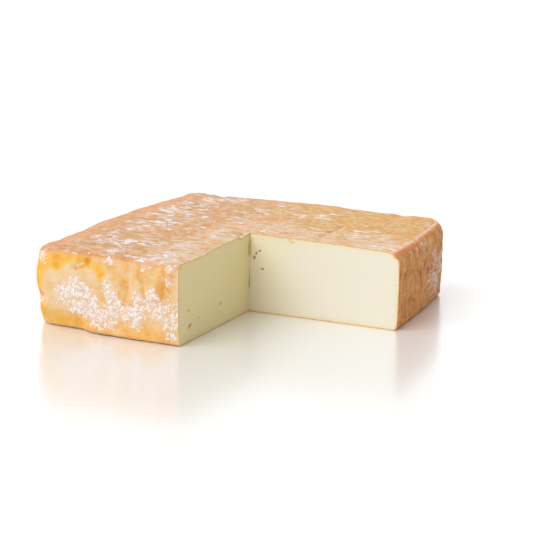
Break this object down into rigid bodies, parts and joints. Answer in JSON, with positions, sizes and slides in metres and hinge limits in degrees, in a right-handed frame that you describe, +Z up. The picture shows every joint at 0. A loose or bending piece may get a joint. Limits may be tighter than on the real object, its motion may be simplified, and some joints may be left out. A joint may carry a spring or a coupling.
{
  "type": "taleggio cheese",
  "caption": "Square block of soft washed-rind cheese with a corner quarter cut out, smooth pale paste inside an orange rind.",
  "frame": {"origin": "on the flat underside, below the middle of the block's bounding box", "axes": "+Z up through the block's thickness; the missing quarter is the corner at +X and -Y, so one cut face looks along +X and the other along -Y"},
  "size_m": [0.2002, 0.197, 0.0514],
  "materials": {
    "rind": "moist matte rind, orange to tan, with white mould; the cut faces are smooth pale cream paste"
  },
  "bodies": {
    "root": {"cheese": "rind"}
  },
  "joints": []
}
